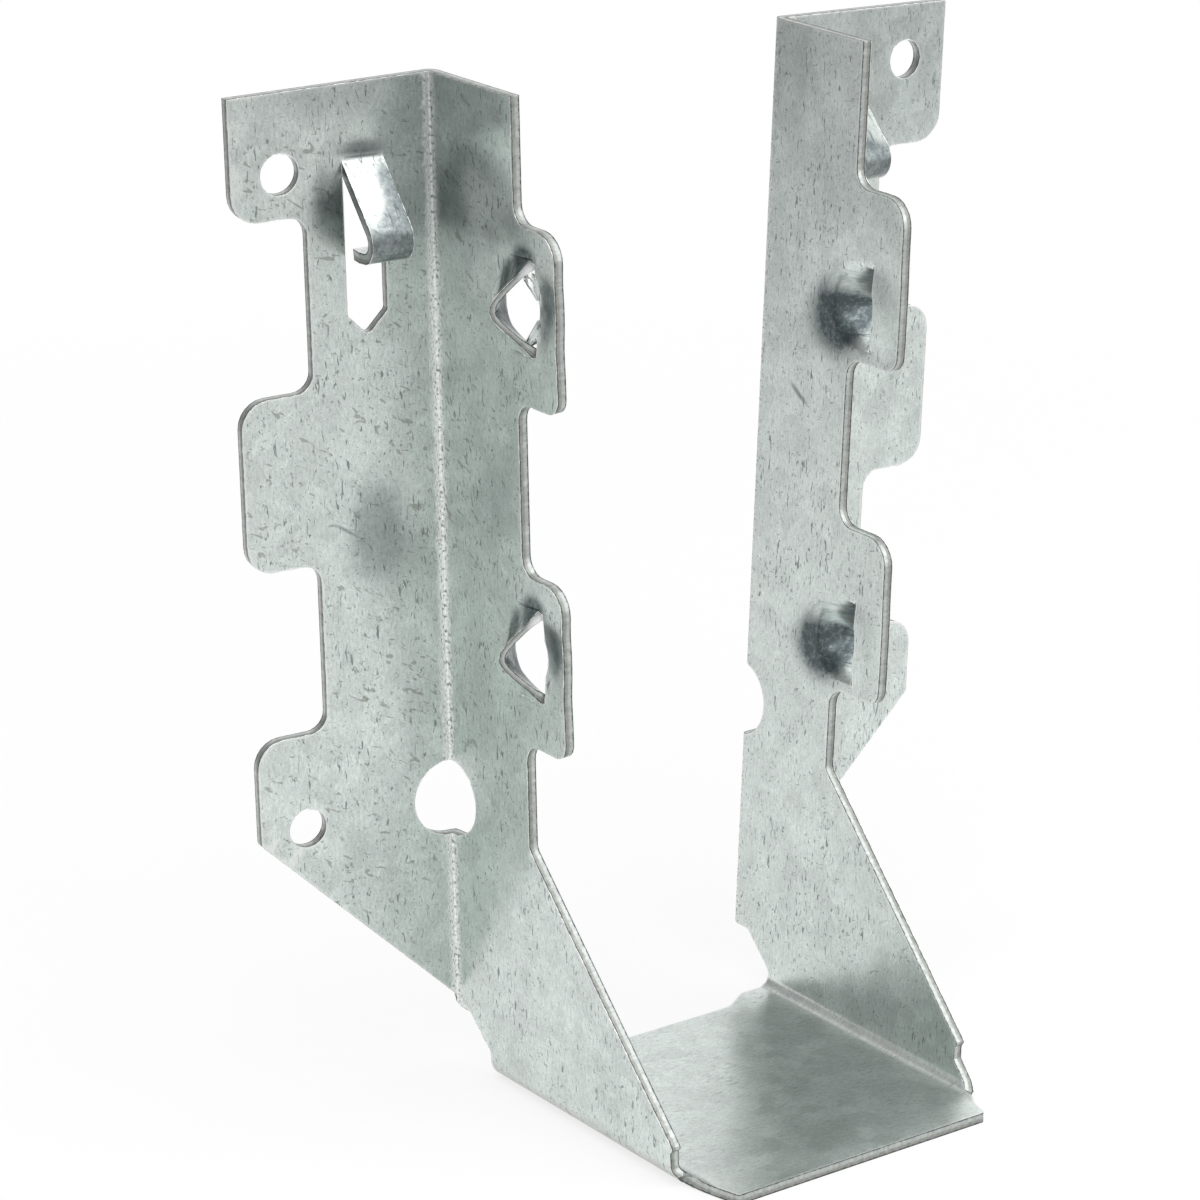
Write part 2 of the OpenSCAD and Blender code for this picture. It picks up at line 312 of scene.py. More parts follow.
# places of painted shade, painted highlight on the dome lips, and stains: panel, side, across, up, spread
# across, spread up, in mm
marks = {
    # all marks here are painted shade, except the stains and the painted highlight on the dome lips
    "stripShade": [("plate", -1, 21.6, 95.3, 1.3, 2.3), ("plate", -1, 21.6, 57.0, 1.2, 2.6)],
    "prongShade": [("flange", -1, 13.7, 106.3, 1.6, 4.2), ("flange", -1, 9.6, 112.0, 3.0, 0.9)],
    "lipShade": [("plate", -1, 18.4, 101.6, 2.0, 1.5), ("plate", -1, 18.6, 61.6, 2.0, 1.5),
                 ("plate", -1, 15.6, 99.6, 1.6, 1.3), ("plate", -1, 15.6, 59.6, 1.6, 1.3)],
    "hollowShade": [("plate", 1, 14.0, 86.4, 4.2, 4.0), ("plate", 1, 14.2, 46.6, 4.2, 3.8),
               ("plate", -1, 14.0, 95.0, 4.4, 4.2), ("plate", -1, 14.0, 55.0, 4.4, 4.2)],
    "midFlangeShade": [("flange", -1, 9.4, 67.4, 3.2, 5.4)],
    "stained": [("flange", -1, 18.0, 70.0, 26.0, 64.0), ("plate", -1, 4.0, 84.0, 12.0, 44.0)],
    "topShade": [("plate", -1, 6.5, 114.0, 9.0, 16.0), ("flange", -1, 9.0, 119.0, 13.0, 3.2),
                 ("flange", 1, 13.0, 116.0, 16.0, 14.0)],
    "lipHighlight": [("plate", -1, 20.0, 99.6, 1.2, 1.9), ("plate", -1, 20.0, 59.6, 1.2, 1.9)],
}


# how far each point lies in the marks of one name, from 0 to 1
def markField(co, name):
    field = np.zeros(len(co))
    for place, side, across, up, wide, tall in marks[name]:
        a, b, c = toPlate(co, side) if place == "plate" else toFlange(co, side)
        u, depth = (b, a) if place == "plate" else (a, b)
        near = onSide(co, side) & (depth > -3.5) & (depth < 8)
        bump = np.exp(-((u - across) / wide) ** 2 - ((c - up) / tall) ** 2)
        field = np.maximum(field, np.where(near, bump, 0.0))
    return field


# where each point lies on the flat blank, in mm: along the rolling direction, and across it
def blankPlace(co):
    side = np.where(co[:, 0] < 0, -1, 1)
    out, forward, up = (np.where(side < 0, a, b) for a, b in zip(toPlate(co, -1), toPlate(co, 1)))
    along = np.where(side < 0, toFlange(co, -1)[0], toFlange(co, 1)[0])
    half = blank["gap"] / 2
    onSeat = (up < 1.7) & (out < -1.0)
    u = np.where(onSeat, np.abs(co[:, 0]), half + up)
    v = np.where(onSeat, blank["headerY"] - co[:, 1], np.where(along > 1.6, -along, forward))
    return u * side, v


# distance in mm from each point to the nearest target, up to a reach
def nearest(points, targets, reach):
    tree = KDTree(len(targets))
    for k, target in enumerate(targets):
        tree.insert(target, k)
    tree.balance()
    return np.array([min(reach, tree.find(p)[2] / mm) for p in points])


# distances along the sheet to its sheared edges, its folds and its pressed forms
def sheetFields(form, skin, co):
    outer = np.array([any(f[skin] == 2 for f in v.link_faces) for v in form.verts])
    borders = {1: [], 2: []}
    for edge in form.edges:
        if len({f[skin] > 0 for f in edge.link_faces}) == 2:
            a, b = (v.co for v in edge.verts)
            n = max(1, int((b - a).length / (0.4 * mm)))
            label = max(f[skin] for f in edge.link_faces)
            borders[label] += [a.lerp(b, k / n) for k in range(n + 1)]
    points = [v.co for v in form.verts]
    far = 12.0              # distances are kept up to this, mm
    inward, outward = (nearest(points, borders[k], far) for k in (1, 2))
    fields = {"edgeDistance": np.minimum(inward, outward), "outerSide": outer.astype(float),
              "through": inward / np.maximum(inward + outward, 1e-6)}
    fold = np.full(len(co), far)
    hood, wear, under, seatRub = (np.zeros(len(co)) for k in range(4))
    thick = blank["thickness"]
    for side in (-1, 1):
        own = side * co[:, 0] > 0
        out, forward, up = toPlate(co, side)
        along, front, up = toFlange(co, side)
        # a flange fold is a ridge on the inner skin and a valley on the outer one
        ridge = np.hypot(np.clip(along, 0, None), np.clip(forward, 0, None)) - 0.3
        valley = np.maximum(np.abs(along - thick), np.abs(forward - thick))
        corner = np.where(outer, valley, ridge)
        seat = np.hypot(np.clip(-out, 0, None), np.clip(up - np.where(outer, 0.0, thick), 0, None))
        fold = np.where(own, np.minimum(fold, corner), fold)
        seatRub = np.where(own, np.exp(-(np.clip(seat - 0.8, 0, None) / 1.1) ** 2), seatRub)
        # painted shade low on the outer skin of the seat folds
        under = np.where(own & outer & (out > -4), np.clip((2.4 - up) / 2.0, 0, 1), under)
        behind = dome["mouth"] - forward
        for height in (place[1] for place in dome["places"] if place[0] == side):
            r = np.hypot(up - height, np.clip(behind - dome["run"], 0, None))
            raised = np.clip((out - 0.9) / 3.0, 0, 1) * (r < dome["span"]) * (behind > -0.1)
            hood = np.where(own, np.maximum(hood, raised), hood)
        onLeg = (np.abs(along - hook["middle"]) < 3.2) & (up > hook["foot"])
        leg = np.clip((front - 1.6) / 1.2, 0, 1) * onLeg
        hood = np.where(own & (out > 3.0), np.maximum(hood, leg), hood)
        # painted shade: a prong is darkened at its foot and where it bends over, so its highlight fades
        lowered = np.clip((9.9 - along) / 2.0, 0, 1) + np.clip((front - 6.5) / 2.5, 0, 1)
        wear = np.where(own & (leg > 0), np.clip(lowered * leg, 0, 1), wear)
    fields.update(foldDistance=np.clip(fold, 0, far), drawn=hood, wear=wear, underFold=under,
                  seatRub=seatRub)
    return fields


# the refined and worked sheet, and the path that the burr beads follow
def makeSheet():
    form, isSkin = sheetCopy(cadHanger)
    skin = markSkins(form, isSkin)
    sharpLimit = math.radians(sheetLook["smoothAngle"])
    for edge in form.edges:
        sheared = len({f[skin] > 0 for f in edge.link_faces}) == 2
        edge.smooth = not (sheared or edge.calc_face_angle(0.0) > sharpLimit)
    refine(form)
    refineDomes(form)
    bmesh.ops.dissolve_degenerate(form, dist=2e-6, edges=form.edges)
    print("sheet refined:", len(form.verts), "points,", len(form.faces), "faces,",
          sum(not e.is_manifold for e in form.edges), "open edges")

    unworked = np.array([v.co for v in form.verts]) / mm
    fields = sheetFields(form, skin, unworked)
    for name in marks:
        fields[name] = markField(unworked, name)
    lengthwise, crosswise = blankPlace(unworked)
    worked = drawTips(workDomes(unworked)) * mm
    worked = np.clip(worked, np.array(cadBox[0]), np.array(cadBox[1]))
    form.verts.index_update()
    for vert in form.verts:
        vert.co = worked[vert.index]
    blankMap = form.loops.layers.uv.new("blank")
    for face in form.faces:
        for loop in face.loops:
            k = loop.vert.index
            loop[blankMap].uv = (lengthwise[k] * mm, crosswise[k] * mm)

    rims = [e for e in form.edges if sorted(f[skin] for f in e.link_faces) == [0, 2]]
    rimVerts = {v.index: v for e in rims for v in e.verts}
    rimOrder = {index: k for k, index in enumerate(rimVerts)}
    rimPoints = [tuple(v.co) for v in rimVerts.values()]
    rimEdges = [[rimOrder[v.index] for v in e.verts] for e in rims]
    path = bpy.data.meshes.new("shearBurrPath")
    path.from_pydata(rimPoints, rimEdges, [])

    mesh = bpy.data.meshes.new("hangerSheet")
    form.to_mesh(mesh)
    for name, values in fields.items():
        layer = mesh.attributes.new(name, "FLOAT", "POINT")
        layer.data.foreach_set("value", np.asarray(values, np.float32))
    sheet = bpy.data.objects.new("hangerSheet", mesh)
    bpy.context.scene.collection.objects.link(sheet)
    print("sheet worked over")
    return sheet, path


# a new node, with settings, and with its inputs linked or set
def put(tree, kind, inputs=None, **settings):
    made = tree.nodes.new(kind)
    for name, value in settings.items():
        setattr(made, name, value)
    for name, value in (inputs or {}).items():
        if isinstance(value, bpy.types.NodeSocket):
            tree.links.new(value, made.inputs[name])
        else:
            made.inputs[name].default_value = value
    return made


# one step of arithmetic
def calc(tree, operation, a, b=None, c=None, clamp=False):
    given = {k: v for k, v in enumerate((a, b, c)) if v is not None}
    return put(tree, "ShaderNodeMath", given, operation=operation, use_clamp=clamp).outputs[0]


# maps a value from one range to another and keeps it there
def spread(tree, value, low, high, toLow=0.0, toHigh=1.0, smooth=False):
    kind = "SMOOTHSTEP" if smooth else "LINEAR"
    given = {"Value": value, "From Min": low, "From Max": high, "To Min": toLow, "To Max": toHigh}
    return put(tree, "ShaderNodeMapRange", given, interpolation_type=kind, clamp=True).outputs[0]


# mixes two colours
def blendColour(tree, factor, a, b, mode="MIX"):
    made = tree.nodes.new("ShaderNodeMix")
    made.data_type, made.blend_type = "RGBA", mode
    for socket, value in ((0, factor), (6, a), (7, b)):
        if isinstance(value, bpy.types.NodeSocket):
            tree.links.new(value, made.inputs[socket])
        elif socket == 0:
            made.inputs[0].default_value = value
        else:
            made.inputs[socket].default_value = (*value[:3], 1.0)
    return made.outputs[2]


# a vector stretched along its three axes
def scaled(tree, vector, x, y, z):
    given = {0: vector, 1: (x, y, z)}
    return put(tree, "ShaderNodeVectorMath", given, operation="MULTIPLY").outputs[0]


# a node group with named inputs and outputs
def newGroup(name, inputs, outputs, kind="ShaderNodeTree"):
    tree = bpy.data.node_groups.new(name, kind)
    for label, socketKind, value in inputs:
        socket = tree.interface.new_socket(label, in_out="INPUT", socket_type=socketKind)
        if value is not None:
            socket.default_value = value
    for label, socketKind in outputs:
        tree.interface.new_socket(label, in_out="OUTPUT", socket_type=socketKind)
    return tree, tree.nodes.new("NodeGroupInput").outputs, tree.nodes.new("NodeGroupOutput").inputs


def useGroup(tree, group, **inputs):
    return put(tree, "ShaderNodeGroup", {k.replace("_", " "): v for k, v in inputs.items()},
               node_tree=group).outputs


number, vector = "NodeSocketFloat", "NodeSocketVector"


# short dashes drawn out along the rolling direction, in loose patches
def makeRollingDashes():
    tree, given, out = newGroup("rollingDashes", [
        ("Place", vector, None), ("Length", number, 2.4), ("Width", number, 0.5),
        ("Sparseness", number, 0.62), ("Patch Size", number, 9.0), ("Shift", number, 0.0),
    ], [("Mask", number)])
    parts = put(tree, "ShaderNodeSeparateXYZ", {0: given["Place"]}).outputs
    lengthwise = calc(tree, "DIVIDE", parts[0], given["Length"])
    crosswise = calc(tree, "DIVIDE", parts[1], given["Width"])
    depth = calc(tree, "ADD", parts[2], given["Shift"])
    place = put(tree, "ShaderNodeCombineXYZ", {0: lengthwise, 1: crosswise, 2: depth}).outputs[0]
    fine = put(tree, "ShaderNodeTexNoise", {
        "Vector": place, "Scale": 1.0, "Detail": 1.6, "Roughness": 0.5, "Distortion": 0.9}).outputs[0]
    patchScale = calc(tree, "DIVIDE", 1.0, given["Patch Size"])
    elsewhere = (31.0, 17.0, 5.0)       # so that patches and dashes don't share their noise
    moved = put(tree, "ShaderNodeVectorMath", {0: given["Place"], 1: elsewhere},
                operation="ADD").outputs[0]
    patch = put(tree, "ShaderNodeTexNoise", {
        "Vector": moved, "Scale": patchScale, "Detail": 2.0, "Roughness": 0.6}).outputs[0]
    sparse = calc(tree, "SUBTRACT", given["Sparseness"],
                  spread(tree, patch, 0.35, 0.7, -0.045, 0.045))
    over = calc(tree, "SUBTRACT", fine, sparse)
    tree.links.new(spread(tree, over, 0.0, 0.055, smooth=True), out["Mask"])
    return tree


# soft zinc crystals with clouding between them
def makeSpangle():
    tree, given, out = newGroup("spangle", [
        ("Place", vector, None), ("Size", number, 3.0), ("Clouding", number, 0.5),
    ], [("Tone", number), ("Cloud", number)])
    scale = calc(tree, "DIVIDE", 1.0, given["Size"])
    warp = put(tree, "ShaderNodeTexNoise", {
        "Vector": given["Place"], "Scale": 0.9, "Detail": 2.0}).outputs[1]
    bent = put(tree, "ShaderNodeVectorMath", {0: given["Place"], 1: warp}, operation="ADD").outputs[0]
    cell = put(tree, "ShaderNodeTexVoronoi", {
        "Vector": bent, "Scale": scale, "Smoothness": 0.35, "Randomness": 1.0},
        feature="SMOOTH_F1").outputs[1]
    tone = put(tree, "ShaderNodeSeparateColor", {0: cell}).outputs[0]
    cloud = put(tree, "ShaderNodeTexNoise", {
        "Vector": given["Place"], "Scale": calc(tree, "MULTIPLY", scale, 0.28),
        "Detail": 5.0, "Roughness": 0.62}).outputs[0]
    mixed = calc(tree, "ADD", calc(tree, "MULTIPLY", tone, calc(tree, "SUBTRACT", 1.0, given["Clouding"])),
                 calc(tree, "MULTIPLY", cloud, given["Clouding"]))
    tree.links.new(mixed, out["Tone"])
    tree.links.new(cloud, out["Cloud"])
    return tree


# a broken bright or dark line along an edge or a fold, from a distance in mm
def makeRubbedLine():
    tree, given, out = newGroup("rubbedLine", [
        ("Distance", number, 0.0), ("Width", number, 0.4), ("Place", vector, None),
        ("Grain", number, 1.5), ("Breakup", number, 0.5),
    ], [("Mask", number)])
    grain = put(tree, "ShaderNodeTexNoise", {
        "Vector": given["Place"], "Scale": given["Grain"], "Detail": 3.0, "Roughness": 0.65}).outputs[0]
    wander = calc(tree, "MULTIPLY", spread(tree, grain, 0.3, 0.7, -0.5, 0.5), given["Width"])
    edge = calc(tree, "ADD", given["Distance"], calc(tree, "MULTIPLY", wander, given["Breakup"]))
    part = calc(tree, "DIVIDE", edge, given["Width"])
    tree.links.new(calc(tree, "SUBTRACT", 1.0, spread(tree, part, 0.35, 1.0, smooth=True)), out["Mask"])
    return tree


# fine grain, rolling lines and slow waviness of the sheet, as one height in mm
def makeSheetRelief():
    tree, given, out = newGroup("sheetRelief", [
        ("Place", vector, None), ("Grain", number, 0.004), ("Waviness", number, 0.05),
        ("Lines", number, 0.003),
    ], [("Height", number)])
    grain = put(tree, "ShaderNodeTexNoise", {
        "Vector": given["Place"], "Scale": 3.2, "Detail": 4.0, "Roughness": 0.6}).outputs[0]
    slow = put(tree, "ShaderNodeTexNoise", {
        "Vector": scaled(tree, given["Place"], 0.055, 0.1, 1.0), "Scale": 1.0, "Detail": 1.0}).outputs[0]
    lines = put(tree, "ShaderNodeTexNoise", {
        "Vector": scaled(tree, given["Place"], 0.12, 4.5, 1.0), "Scale": 1.0, "Detail": 2.0}).outputs[0]
    total = calc(tree, "ADD", calc(tree, "MULTIPLY", grain, given["Grain"]),
                 calc(tree, "MULTIPLY", slow, given["Waviness"]))
    total = calc(tree, "ADD", total, calc(tree, "MULTIPLY", lines, given["Lines"]))
    tree.links.new(total, out["Height"])
    return tree


# one tapering stroke, as a scratch leaves it, on one skin of the blank
def makeStroke():
    tree, given, out = newGroup("stroke", [
        ("Place", vector, None), ("Centre", vector, (0, 0, 0)), ("Half Size", vector, (2, 0.2, 1)),
        ("Turn", number, 0.0),
    ], [("Mask", number)])
    moved = put(tree, "ShaderNodeVectorMath", {0: given["Place"], 1: given["Centre"]},
                operation="SUBTRACT").outputs[0]
    turned = put(tree, "ShaderNodeVectorRotate", {"Vector": moved, "Angle": given["Turn"]},
                 rotation_type="Z_AXIS").outputs[0]
    sized = put(tree, "ShaderNodeVectorMath", {0: turned, 1: given["Half Size"]},
                operation="DIVIDE").outputs[0]
    reach = put(tree, "ShaderNodeVectorMath", {0: sized}, operation="LENGTH").outputs["Value"]
    tree.links.new(calc(tree, "SUBTRACT", 1.0, spread(tree, reach, 0.3, 1.0, smooth=True)), out["Mask"])
    return tree


stroke = makeStroke()
rollingDashes = makeRollingDashes()
spangle = makeSpangle()
rubbedLine = makeRubbedLine()
sheetRelief = makeSheetRelief()

# scratches, and painted shade along the crease above the left prong's hinge (the first two): centre on the
# blank, half length and width in mm, turn in degrees, whether on the outer skin, and strength
strokes = [
    ((-131.6, -9.6), (3.6, 1.35), 90, True, 0.62),
    ((-130.75, -9.5), (2.9, 0.22), 92, True, 0.8),
    ((-88.3, -13.2), (2.6, 0.30), -55, True, 0.6),
    ((96.2, 7.8), (2.1, 0.50), 55, False, 0.7),
    ((95.6, 8.9), (1.8, 0.35), 58, False, 0.5),
]

# how strongly each kind of painted shade darkens the zinc
markStrength = {
    "stripShade": 0.5,
    "prongShade": 0.7,
    "lipShade": 0.9,
    "hollowShade": 1.0,
    "midFlangeShade": 0.42,
    "topShade": 0.3,
    "wear": 0.8,
}

# the galvanised skin, sizes in mm
zinc = {
    "clean": (0.665, 0.720, 0.695),
    "bright": (0.90, 0.91, 0.89),
    "dash": (0.20, 0.225, 0.225),
    # the next two colours are painted shade
    "paintedShade": (0.085, 0.105, 0.112),
    "underShade": (0.26, 0.25, 0.21),
    "stain": (0.25, 0.26, 0.215),
    "roughness": 0.29,
    "metallic": 1.0,
    "crystal": 2.2,         # size of the spangle
    "dashSize": (1.5, 0.36),        # length and width
    "fleckSize": (0.6, 0.4),
    "stainSize": (1.7, 0.8),
    "fleckTurn": -1.0,      # flecks and stains are slanted to the dashes, radians
    "foldRub": 1.25,        # width of the rubbed line along a fold
    "edgeRub": 0.3,
    "waviness": 0.16,       # slow bulges of the sheet
    "edgeRound": 0.14,
}


# a bare material with its shader
def newMaterial(name):
    material = bpy.data.materials.new(name)
    material.use_nodes = True
    tree = material.node_tree
    tree.nodes.clear()
    shader = put(tree, "ShaderNodeBsdfPrincipled")
    put(tree, "ShaderNodeOutputMaterial", {"Surface": shader.outputs[0]})
    return material, tree, shader


# place on the blank in mm, with the two skins kept apart
def blankVector(tree):
    flat = put(tree, "ShaderNodeUVMap", uv_map="blank").outputs[0]
    parts = put(tree, "ShaderNodeSeparateXYZ", {0: scaled(tree, flat, 1000, 1000, 1000)}).outputs
    outer = attribute(tree, "outerSide")
    depth = calc(tree, "MULTIPLY", calc(tree, "GREATER_THAN", outer, 0.5), 40.0)
    return put(tree, "ShaderNodeCombineXYZ", {0: parts[0], 1: parts[1], 2: depth}).outputs[0]


def attribute(tree, name):
    return put(tree, "ShaderNodeAttribute", attribute_name=name).outputs["Fac"]


# uneven tone, from 0 to 1
def noise(tree, place, scale, detail=1.0, rough=0.5):
    given = {"Vector": place, "Scale": scale, "Detail": detail, "Roughness": rough}
    return put(tree, "ShaderNodeTexNoise", given).outputs[0]


# several values multiplied
def product(tree, *values):
    total = values[0]
    for value in values[1:]:
        total = calc(tree, "MULTIPLY", total, value)
    return total


# height in mm becomes the shading normal, over softly rounded edges
def reliefNormal(tree, height):
    rounded = put(tree, "ShaderNodeBevel", {"Radius": zinc["edgeRound"] * mm}, samples=4).outputs[0]
    given = {"Height": height, "Distance": mm, "Strength": 1.0, "Normal": rounded}
    return put(tree, "ShaderNodeBump", given).outputs[0]


def makeZincSkin():
    material, tree, shader = newMaterial("zincSkin")
    place = blankVector(tree)
    solid = scaled(tree, put(tree, "ShaderNodeTexCoord").outputs["Object"], 1000, 1000, 1000)
    edge, fold = attribute(tree, "edgeDistance"), attribute(tree, "foldDistance")
    drawn = attribute(tree, "drawn")

    # clean zinc
    tones = useGroup(tree, spangle, Place=place, Size=zinc["crystal"], Clouding=0.5)
    mottle = spread(tree, tones["Tone"], 0.25, 0.75, 0.91, 1.07)
    cloud = spread(tree, tones["Cloud"], 0.35, 0.65, 0.96, 1.03)
    powder = noise(tree, scaled(tree, place, 0.8, 1.9, 1.0), 1.5, 4.0, 0.75)
    powder = spread(tree, powder, 0.3, 0.7, 0.80, 1.16)
    salt = spread(tree, noise(tree, place, 5.0), 0.3, 0.7, 0.91, 1.08)
    tint = product(tree, product(tree, mottle, cloud), product(tree, powder, salt))
    grey = put(tree, "ShaderNodeCombineColor", {0: tint, 1: tint, 2: tint}).outputs[0]
    colour = blendColour(tree, 1.0, zinc["clean"], grey, "MULTIPLY")

    # rolling dashes, flecks and stains, fainter on the seat
    slanted = put(tree, "ShaderNodeVectorRotate", {"Vector": place, "Angle": zinc["fleckTurn"]},
                  rotation_type="Z_AXIS").outputs[0]
    fromMiddle = put(tree, "ShaderNodeSeparateXYZ", {0: place}).outputs[0]
    offSeat = spread(tree, calc(tree, "ABSOLUTE", fromMiddle), 19.0, 22.0, 0.45, 1.0)
    masks = [useGroup(tree, rollingDashes, Place=where, Length=size[0], Width=size[1],
                      Sparseness=sparse, Patch_Size=patch, Shift=shift)[0]
             for where, size, sparse, patch, shift in (
                 (place, zinc["dashSize"], 0.640, 8.0, 0.0),
                 (slanted, zinc["fleckSize"], 0.650, 5.0, 9.0),
                 (slanted, zinc["stainSize"], 0.645, 11.0, 21.0))]
    dashes, flecks = (product(tree, mask, offSeat) for mask in masks[:2])
    dark = calc(tree, "MAXIMUM", product(tree, dashes, 0.8), product(tree, flecks, 0.6), clamp=True)
    colour = blendColour(tree, dark, colour, zinc["dash"])
    stained = spread(tree, attribute(tree, "stained"), 0.1, 0.6, 0.0, 0.62)
    colour = blendColour(tree, product(tree, masks[2], stained), colour, zinc["stain"])

    # rubbed folds, pitted and speckled
    burnish = useGroup(tree, rubbedLine, Distance=fold, Width=zinc["foldRub"], Place=place,
                       Grain=1.1, Breakup=0.6)[0]
    dots = noise(tree, place, 2.3)
    speckle = product(tree, burnish, spread(tree, dots, 0.48, 0.58, 0.5, 1.0))
    colour = blendColour(tree, speckle, colour, zinc["bright"])
    pit = product(tree, burnish, spread(tree, dots, 0.42, 0.34, 0.0, 0.75))
    colour = blendColour(tree, pit, colour, zinc["dash"])
    pressed = product(tree, attribute(tree, "seatRub"), spread(tree, dots, 0.4, 0.65, 0.12, 0.5))
    colour = blendColour(tree, pressed, colour, zinc["bright"])

    # rubbed edges and drawn forms
    rim = useGroup(tree, rubbedLine, Distance=edge, Width=zinc["edgeRub"], Place=place,
                   Grain=0.9, Breakup=0.9)[0]
    colour = blendColour(tree, product(tree, rim, 0.45), colour, zinc["bright"])
    rubbed = product(tree, drawn, spread(tree, tones["Cloud"], 0.35, 0.65, 0.0, 0.4))
    colour = blendColour(tree, rubbed, colour, zinc["bright"])

    # scratches, painted shade along the left prong's hinge, painted shade from the marks, and painted
    # shade low on the seat folds
    for centre, size, turn, onOuter, strength in strokes:
        line = useGroup(tree, stroke, Place=place, Centre=(*centre, 40.0 if onOuter else 0.0),
                        Half_Size=(*size, 1.0), Turn=math.radians(turn))[0]
        colour = blendColour(tree, product(tree, line, strength), colour, zinc["dash"])
    grit = spread(tree, noise(tree, solid, 1.5, 5.0, 0.75), 0.3, 0.65, 0.75, 1.15)
    onInner = calc(tree, "SUBTRACT", 1.0, attribute(tree, "outerSide"))
    # painted shade: each mark darkens the zinc towards a dark colour
    for name, strength in markStrength.items():
        field = product(tree, spread(tree, attribute(tree, name), 0.05, 0.7, smooth=True), grit)
        if name == "hollowShade":
            field = product(tree, field, onInner)
        field = calc(tree, "MULTIPLY", field, strength, clamp=True)
        colour = blendColour(tree, field, colour, zinc["paintedShade"])
    # painted shade low on the outer skin of the seat folds
    under = product(tree, attribute(tree, "underFold"), 0.75)
    colour = blendColour(tree, under, colour, zinc["underShade"])
    tree.links.new(colour, shader.inputs["Base Color"])

    plain = zinc["roughness"]
    rough = calc(tree, "ADD", spread(tree, tones["Tone"], 0.2, 0.8, plain - 0.015, plain + 0.02),
                 product(tree, dark, 0.22))
    rough = calc(tree, "ADD", rough, product(tree, burnish, 0.35))
    sheen = spread(tree, tones["Cloud"], 0.35, 0.65, 0.12, -0.1)
    rough = calc(tree, "ADD", rough, product(tree, drawn, sheen), clamp=True)
    tree.links.new(rough, shader.inputs["Roughness"])
    shader.inputs["Metallic"].default_value = zinc["metallic"]
    height = useGroup(tree, sheetRelief, Place=place, Grain=0.006, Waviness=zinc["waviness"],
                      Lines=0.003)[0]
    height = calc(tree, "SUBTRACT", height, product(tree, dark, 0.006))
    height = calc(tree, "ADD", height, product(tree, speckle, 0.03))
    tree.links.new(reliefNormal(tree, height), shader.inputs["Normal"])
    return material


# the sheared faces
shear = {
    "cut": (0.50, 0.53, 0.515),     # the smooth part, next to the inner skin
    "torn": (0.34, 0.35, 0.325),
    "corner": (0.07, 0.08, 0.08),   # thin dark lines beside both skins
    # painted highlight on the cut faces of the left domes' lips
    "lip": (0.78, 0.80, 0.79),
}


def makeShearedEdge():
    material, tree, shader = newMaterial("shearedEdge")
    place = blankVector(tree)
    solid = scaled(tree, put(tree, "ShaderNodeTexCoord").outputs["Object"], 1000, 1000, 1000)
    tear = noise(tree, solid, 2.2, 4.0, 0.6)
    line = calc(tree, "ADD", attribute(tree, "through"), spread(tree, tear, 0.3, 0.7, -0.07, 0.07))
    colour = blendColour(tree, spread(tree, line, 0.42, 0.62), shear["cut"], shear["torn"])
    grey = spread(tree, noise(tree, place, 1.3, 3.0, 0.7), 0.3, 0.7, 0.7, 1.15)
    tint = put(tree, "ShaderNodeCombineColor", {0: grey, 1: grey, 2: grey}).outputs[0]
    colour = blendColour(tree, 1.0, colour, tint, "MULTIPLY")
    colour = blendColour(tree, spread(tree, line, 0.17, 0.05), colour, shear["corner"])
    colour = blendColour(tree, spread(tree, line, 0.8, 0.92, 0.0, 0.9), colour, shear["corner"])
    # painted highlight on the cut faces of the left domes' lips
    lip = spread(tree, attribute(tree, "lipHighlight"), 0.2, 0.7)
    colour = blendColour(tree, lip, colour, shear["lip"])
    tree.links.new(colour, shader.inputs["Base Color"])
    tree.links.new(spread(tree, line, 0.4, 0.6, 0.32, 0.5), shader.inputs["Roughness"])
    shader.inputs["Metallic"].default_value = 1.0
    tree.links.new(reliefNormal(tree, product(tree, tear, 0.03)), shader.inputs["Normal"])
    return material


# uneven beads of metal that the shears leave along an edge
def makeBurrTree():
    tree, given, out = newGroup("shearBurr", [
        ("Path", "NodeSocketGeometry", None), ("Radius", number, 0.07 * mm),
        ("Spacing", number, 0.3 * mm), ("Break Size", number, 0.9 * mm),
        ("Sides", "NodeSocketInt", 4), ("Finish", "NodeSocketMaterial", None),
    ], [("Beads", "NodeSocketGeometry")], "GeometryNodeTree")
    curve = put(tree, "GeometryNodeMeshToCurve", {"Mesh": given["Path"]}).outputs[0]
    even = put(tree, "GeometryNodeResampleCurve", {"Curve": curve, "Length": given["Spacing"]},
               mode="LENGTH").outputs[0]
    place = put(tree, "GeometryNodeInputPosition").outputs[0]
    scale = calc(tree, "DIVIDE", 1.0, given["Break Size"])
    bumps = put(tree, "ShaderNodeTexNoise", {"Vector": place, "Scale": scale, "Detail": 2.0,
                                             "Roughness": 0.7}).outputs[0]
    size = calc(tree, "MULTIPLY", given["Radius"], spread(tree, bumps, 0.42, 0.62, 0.1, 1.0))
    ring = put(tree, "GeometryNodeCurvePrimitiveCircle", {
        "Resolution": given["Sides"], "Radius": 1.0}).outputs[0]
    beads = put(tree, "GeometryNodeCurveToMesh", {
        "Curve": even, "Profile Curve": ring, "Scale": size, "Fill Caps": True}).outputs[0]
    whole = put(tree, "GeometryNodeRealizeInstances", {"Geometry": beads}).outputs[0]
    finished = put(tree, "GeometryNodeSetMaterial", {
        "Geometry": whole, "Material": given["Finish"]}).outputs[0]
    tree.links.new(finished, out["Beads"])
    return tree


burr = {
    "Radius": 0.06 * mm,
    "Spacing": 0.3 * mm,
    "Break Size": 0.9 * mm,
    "Sides": 4,
}

burrFinish = {
    "colour": (0.86, 0.87, 0.87),
    "roughness": 0.25,
}


